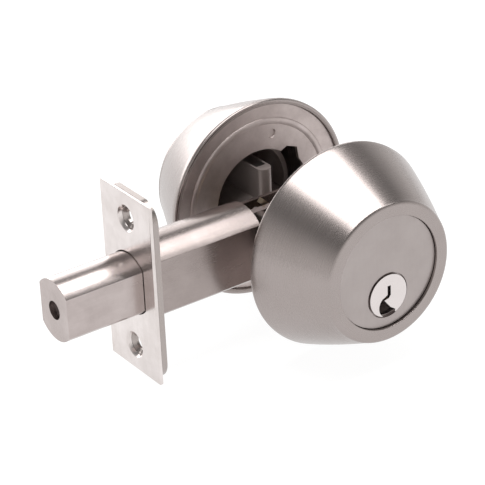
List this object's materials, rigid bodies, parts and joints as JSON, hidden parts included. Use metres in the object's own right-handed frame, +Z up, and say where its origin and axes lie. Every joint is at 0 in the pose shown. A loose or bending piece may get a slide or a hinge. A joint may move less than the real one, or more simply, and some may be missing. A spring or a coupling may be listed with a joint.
{
  "type": "deadbolt door lock",
  "caption": "Double-cylinder tubular deadbolt with tapered satin collars, a thrown flat-sided bolt, a square-cornered faceplate and a crank that draws the bolt back.",
  "frame": {"origin": "centre of the back plate's rear face, which is its seat in the door edge's mortise, between the two screw holes and on the bolt's axis; the faceplate's front is 2.9 mm in front of it", "axes": "+X from the door's edge into the door along the bolt, so the bolt is thrown towards -X; -Y out of the door's outside face; +Z up"},
  "size_m": [0.1175, 0.0866, 0.0636],
  "materials": {
    "satin_nickel": "satin, brushed round the axis",
    "satin_nickel_disc": "satin, brushed round the axis",
    "plug_nickel": "bright, fine turned",
    "backing_metal": "dull cast zinc, plated",
    "plate_steel": "polished with fine vertical grain",
    "case_steel": "plated pressed steel",
    "bolt_metal": "satin plated",
    "hard_steel": "dark hardened steel",
    "tail_steel": "bare zinc plated steel",
    "cam_metal": "dull bronze",
    "fastener_steel": "zinc plated",
    "brass": "turned",
    "pin_steel": "turned",
    "spring_steel": "drawn wire and spring sheet"
  },
  "bodies": {
    "lock_frame": {"faceplate": "plate_steel", "back_plate": "plate_steel", "bolt_case": "case_steel", "case_spacer": "fastener_steel", "through_bolts": "fastener_steel", "ext_cylinder": "satin_nickel_disc", "ext_chamber_cover": "brass", "ext_springs": "spring_steel", "int_cylinder": "satin_nickel_disc", "int_chamber_cover": "brass", "int_springs": "spring_steel"},
    "bolt": {"bolt_bar": "bolt_metal", "bolt_roller": "hard_steel", "bolt_tail": "tail_steel", "tail_rivets": "fastener_steel", "drive_pin": "fastener_steel"},
    "crank": {"cam": "cam_metal", "ext_tailpiece": "tail_steel", "int_tailpiece": "tail_steel"},
    "ext_plug_set": {"ext_plug": "plug_nickel", "ext_plug_clip": "spring_steel", "ext_driver_cup": "brass"},
    "int_plug_set": {"int_plug": "plug_nickel", "int_plug_clip": "spring_steel", "int_driver_cup": "brass"},
    "ext_key_pin_set": {"ext_key_pins": "brass"},
    "int_key_pin_set": {"int_key_pins": "brass"},
    "ext_driver_set": {"ext_driver_pins": "pin_steel"},
    "int_driver_set": {"int_driver_pins": "pin_steel"},
    "ext_trim": {"ext_collar": "satin_nickel", "ext_backing_ring": "backing_metal"},
    "int_trim": {"int_collar": "satin_nickel", "int_backing_ring": "backing_metal"}
  },
  "joints": [
    {"name": "bolt_throw", "type": "slide", "parent": "lock_frame", "child": "bolt", "axis": [1, 0, 0], "range_m": [0, 0.0254]},
    {"name": "crank_turn", "type": "hinge", "parent": "lock_frame", "child": "crank", "pos_m": [0.0574, 0, -0.0075], "axis": [0, 1, 0], "range_deg": [0, 90]},
    {"name": "ext_plug_turn", "type": "hinge", "parent": "lock_frame", "child": "ext_plug_set", "pos_m": [0.0574, 0, -0.0075], "axis": [0, 1, 0], "range_deg": [0, 90]},
    {"name": "int_plug_turn", "type": "hinge", "parent": "lock_frame", "child": "int_plug_set", "pos_m": [0.0574, 0, -0.0075], "axis": [0, 1, 0], "range_deg": [-180, 0]},
    {"name": "ext_driver_lift", "type": "slide", "parent": "lock_frame", "child": "ext_driver_set", "axis": [0, 0, 1], "range_m": [0, 0.0015], "stiffness_N_per_m": 100, "springref_m": -0.002, "deforming": ["ext_springs"]},
    {"name": "ext_key_pin_drop", "type": "slide", "parent": "ext_plug_set", "child": "ext_key_pin_set", "axis": [0, 0, 1], "range_m": [-0.0013, 0]},
    {"name": "ext_trim_spin", "type": "hinge", "parent": "lock_frame", "child": "ext_trim", "pos_m": [0.0574, 0, 0], "axis": [0, 1, 0], "continuous": true},
    {"name": "int_driver_lift", "type": "slide", "parent": "lock_frame", "child": "int_driver_set", "axis": [0, 0, 1], "range_m": [0, 0.0015], "stiffness_N_per_m": 100, "springref_m": -0.002, "deforming": ["int_springs"]},
    {"name": "int_key_pin_drop", "type": "slide", "parent": "int_plug_set", "child": "int_key_pin_set", "axis": [0, 0, 1], "range_m": [-0.0013, 0]},
    {"name": "int_trim_spin", "type": "hinge", "parent": "lock_frame", "child": "int_trim", "pos_m": [0.0574, 0, 0], "axis": [0, 1, 0], "continuous": true}
  ],
  "couplings": [
    {"joint": "crank_turn", "follows": "bolt_throw", "rad_per_m": 61.84},
    {"joint": "ext_plug_turn", "follows": "bolt_throw", "rad_per_m": 61.84}
  ]
}
